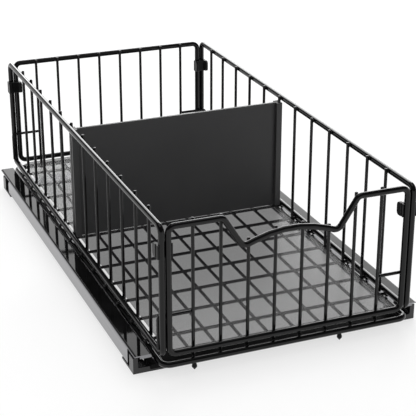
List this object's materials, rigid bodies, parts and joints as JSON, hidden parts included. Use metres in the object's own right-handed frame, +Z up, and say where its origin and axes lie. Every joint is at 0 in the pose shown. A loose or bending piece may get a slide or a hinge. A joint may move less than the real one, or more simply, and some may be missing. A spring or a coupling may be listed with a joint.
{
  "type": "pull out cabinet basket",
  "caption": "Black wire basket on ball-bearing slides that pulls out of a cabinet, with a scooped front rail, smoky liner, lift-out divider and corner clips.",
  "frame": {"origin": "centre of the whole footprint on the cabinet floor", "axes": "+X to the right, +Y to the back of the cabinet along the basket's length, +Z up; the basket pulls out along -Y"},
  "size_m": [0.2878, 0.5278, 0.1513],
  "materials": {
    "black_coat": "gloss black coating on steel rod and bar",
    "black_plastic": "fine grained black plastic",
    "dark_chrome": "dark bright plating on folded sheet",
    "zinc": "zinc plated steel",
    "bright_steel": "polished steel",
    "smoke": "smoky translucent satin sheet"
  },
  "bodies": {
    "base": {"left_rail": "dark_chrome", "right_rail": "dark_chrome", "front_crossbar": "black_coat", "rear_crossbar": "black_coat", "front_left_cap": "black_plastic", "front_right_cap": "black_plastic", "rear_left_cap": "black_plastic", "rear_right_cap": "black_plastic", "cap_rivets": "zinc", "crossbar_screws": "zinc", "left_slide_outer": "zinc", "right_slide_outer": "zinc", "slide_rivets": "zinc"},
    "outer_cages": {"left_outer_cage": "bright_steel", "right_outer_cage": "bright_steel", "outer_balls": "bright_steel"},
    "middle_members": {"left_slide_middle": "zinc", "right_slide_middle": "zinc"},
    "inner_cages": {"left_inner_cage": "bright_steel", "right_inner_cage": "bright_steel", "inner_balls": "bright_steel"},
    "basket": {"left_slide_inner": "zinc", "right_slide_inner": "zinc", "left_brackets": "zinc", "right_brackets": "zinc", "bracket_screws": "bright_steel", "floor_loop": "black_coat", "cross_wires": "black_coat", "long_wires": "black_coat", "left_frame": "black_coat", "left_wires": "black_coat", "right_frame": "black_coat", "right_wires": "black_coat", "front_frame": "black_coat", "front_wires": "black_coat", "rear_frame": "black_coat", "rear_wires": "black_coat", "front_hooks": "black_coat", "rear_hooks": "black_coat", "liner": "smoke", "front_pegs": "black_plastic"},
    "divider": {"divider_panel": "black_plastic", "divider_left_edge": "black_plastic", "divider_right_edge": "black_plastic"},
    "front_left_clip": {"front_left_clip": "black_plastic"},
    "front_right_clip": {"front_right_clip": "black_plastic"},
    "rear_left_clip": {"rear_left_clip": "black_plastic"},
    "rear_right_clip": {"rear_right_clip": "black_plastic"}
  },
  "joints": [
    {"name": "basket_slide", "type": "slide", "parent": "base", "child": "basket", "axis": [0, -1, 0], "range_m": [0, 0.4]},
    {"name": "middle_slide", "type": "slide", "parent": "base", "child": "middle_members", "axis": [0, -1, 0], "range_m": [0, 0.2]},
    {"name": "outer_cage_slide", "type": "slide", "parent": "base", "child": "outer_cages", "axis": [0, -1, 0], "range_m": [0, 0.1]},
    {"name": "inner_cage_slide", "type": "slide", "parent": "base", "child": "inner_cages", "axis": [0, -1, 0], "range_m": [0, 0.3]},
    {"name": "divider_lift", "type": "slide", "parent": "basket", "child": "divider", "axis": [0, 0, 1], "range_m": [0, 0.13]},
    {"name": "front_left_clip_swing", "type": "hinge", "parent": "basket", "child": "front_left_clip", "pos_m": [-0.12245, -0.26, 0.126], "axis": [0, 0, 1], "range_deg": [0, 45]},
    {"name": "front_right_clip_swing", "type": "hinge", "parent": "basket", "child": "front_right_clip", "pos_m": [0.12245, -0.26, 0.126], "axis": [0, 0, -1], "range_deg": [0, 45]},
    {"name": "rear_left_clip_swing", "type": "hinge", "parent": "basket", "child": "rear_left_clip", "pos_m": [-0.12245, 0.26, 0.12], "axis": [0, 0, -1], "range_deg": [0, 45]},
    {"name": "rear_right_clip_swing", "type": "hinge", "parent": "basket", "child": "rear_right_clip", "pos_m": [0.12245, 0.26, 0.12], "axis": [0, 0, 1], "range_deg": [0, 45]}
  ],
  "couplings": [
    {"joint": "middle_slide", "follows": "basket_slide", "ratio": 0.5},
    {"joint": "outer_cage_slide", "follows": "basket_slide", "ratio": 0.25},
    {"joint": "inner_cage_slide", "follows": "basket_slide", "ratio": 0.75}
  ]
}
